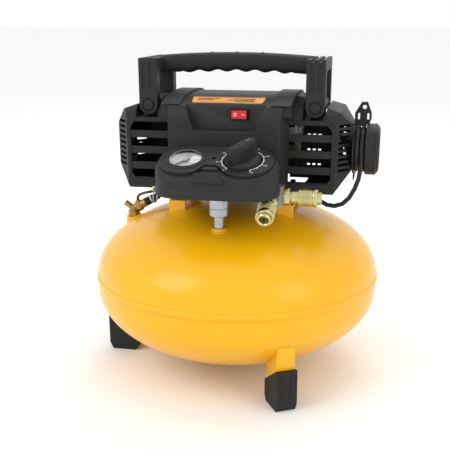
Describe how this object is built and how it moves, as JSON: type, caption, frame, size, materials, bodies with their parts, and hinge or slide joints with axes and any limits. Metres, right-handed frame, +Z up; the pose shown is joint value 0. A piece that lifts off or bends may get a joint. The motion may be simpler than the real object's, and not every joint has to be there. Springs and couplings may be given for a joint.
{
  "type": "pancake air compressor",
  "caption": "Pancake air compressor: flat round steel tank, shrouded belt-driven pump, tilted regulator console, twin quick couplers, carry handle and wound power cord.",
  "frame": {"origin": "centre of the tank's footprint, on the floor plane under the three rubber feet", "axes": "+Z up along the tank's axis, -Y towards the regulator console, +X towards the cord reel"},
  "size_m": [0.4189, 0.419, 0.4595],
  "materials": {
    "tank_paint": "semi-gloss powder coat",
    "black_plastic": "fine textured moulding",
    "soft_grip": "soft touch moulding",
    "rubber": "matt",
    "brass": "satin plated",
    "cast_aluminium": "as cast",
    "steel": "zinc plated",
    "copper_wire": "enamelled winding",
    "red_plastic": "gloss",
    "gauge_face": "printed face",
    "lens": "clear",
    "ptfe": "filled seal material",
    "cord_jacket": "matt jacket"
  },
  "bodies": {
    "compressor": {"tank_upper_shell": "tank_paint", "tank_lower_shell": "tank_paint", "tank_bungs": "tank_paint", "pump_saddles": "tank_paint", "leg_brackets": "tank_paint", "rubber_feet": "rubber", "base_plate": "steel", "isolator_mounts": "rubber", "crankcase": "cast_aluminium", "ball_bearings": "steel", "drive_belt": "rubber", "cylinder_barrel": "cast_aluminium", "valve_plate": "steel", "cylinder_head": "cast_aluminium", "head_bolts": "steel", "intake_filter": "black_plastic", "motor_stator": "steel", "field_windings": "copper_wire", "motor_end_cap": "cast_aluminium", "outlet_hose": "rubber", "hose_ferrules": "steel", "check_valve": "brass", "unloader_tube": "black_plastic", "pressure_switch": "black_plastic", "manifold": "cast_aluminium", "manifold_riser": "steel", "regulator_body": "cast_aluminium", "gauge_case": "black_plastic", "gauge_dial": "gauge_face", "gauge_lens": "lens", "relief_valve_body": "brass", "coupler_bodies": "brass", "drain_valve_body": "brass", "console": "black_plastic", "shroud_front": "black_plastic", "shroud_rear": "black_plastic", "handle_ends": "black_plastic", "handle_grip": "soft_grip", "handle_bolts": "black_plastic", "cord_reel": "black_plastic", "reel_cap": "black_plastic", "cord_gland": "cord_jacket", "power_cord": "cord_jacket", "cord_coil": "cord_jacket", "cord_plug": "cord_jacket"},
    "crank": {"crankshaft": "steel", "crank_pulley": "black_plastic", "cooling_fan": "black_plastic"},
    "motor_armature": {"armature": "steel"},
    "rod": {"connecting_rod": "cast_aluminium", "rod_bearing": "steel", "piston_cup": "ptfe"},
    "rocker": {"switch_rocker": "red_plastic"},
    "knob": {"regulator_knob": "black_plastic"},
    "needle": {"gauge_needle": "black_plastic"},
    "relief_pin": {"relief_stem": "brass"},
    "pull_ring": {"relief_ring": "steel"},
    "front_sleeve": {"coupler_front_sleeve": "brass"},
    "right_sleeve": {"coupler_right_sleeve": "brass"},
    "drain_handle": {"drain_knob": "brass"}
  },
  "joints": [
    {"name": "crank_spin", "type": "hinge", "parent": "compressor", "child": "crank", "pos_m": [0, 0.006, 0.312], "axis": [1, 0, 0], "continuous": true},
    {"name": "armature_spin", "type": "hinge", "parent": "compressor", "child": "motor_armature", "pos_m": [0, -0.006, 0.356], "axis": [1, 0, 0], "continuous": true},
    {"name": "rod_on_crankpin", "type": "hinge", "parent": "crank", "child": "rod", "pos_m": [-0.03, 0.012, 0.312], "axis": [1, 0, 0], "continuous": true},
    {"name": "rocker_tilt", "type": "hinge", "parent": "compressor", "child": "rocker", "pos_m": [0.019, -0.074, 0.382], "axis": [0, 0, 1], "range_deg": [0, 12]},
    {"name": "knob_turn", "type": "hinge", "parent": "compressor", "child": "knob", "pos_m": [0.034, -0.138, 0.331], "axis": [0, 0.342, -0.9397], "range_deg": [-185, 115]},
    {"name": "needle_turn", "type": "hinge", "parent": "compressor", "child": "needle", "pos_m": [-0.0415, -0.138, 0.331], "axis": [0, 0.342, -0.9397], "range_deg": [0, 270], "stiffness_Nm_per_rad": 0.00002},
    {"name": "relief_pull", "type": "slide", "parent": "compressor", "child": "relief_pin", "axis": [-1, 0, 0], "range_m": [0, 0.003], "stiffness_N_per_m": 1500, "springref_m": -0.002},
    {"name": "ring_swing", "type": "hinge", "parent": "relief_pin", "child": "pull_ring", "pos_m": [-0.091, -0.114, 0.285], "axis": [0, 1, 0], "range_deg": [-15, 80]},
    {"name": "front_sleeve_slide", "type": "slide", "parent": "compressor", "child": "front_sleeve", "axis": [0, 0.9397, 0.342], "range_m": [0, 0.005], "stiffness_N_per_m": 1200, "springref_m": -0.002},
    {"name": "right_sleeve_slide", "type": "slide", "parent": "compressor", "child": "right_sleeve", "axis": [-1, 0, 0], "range_m": [0, 0.005], "stiffness_N_per_m": 1200, "springref_m": -0.002},
    {"name": "drain_turn", "type": "hinge", "parent": "compressor", "child": "drain_handle", "pos_m": [-0.059, 0.102, 0.024], "axis": [-0.5, 0.866, 0], "range_deg": [0, 90]}
  ],
  "couplings": [
    {"joint": "armature_spin", "follows": "crank_spin", "ratio": 4},
    {"joint": "rod_on_crankpin", "follows": "crank_spin", "ratio": -1}
  ]
}
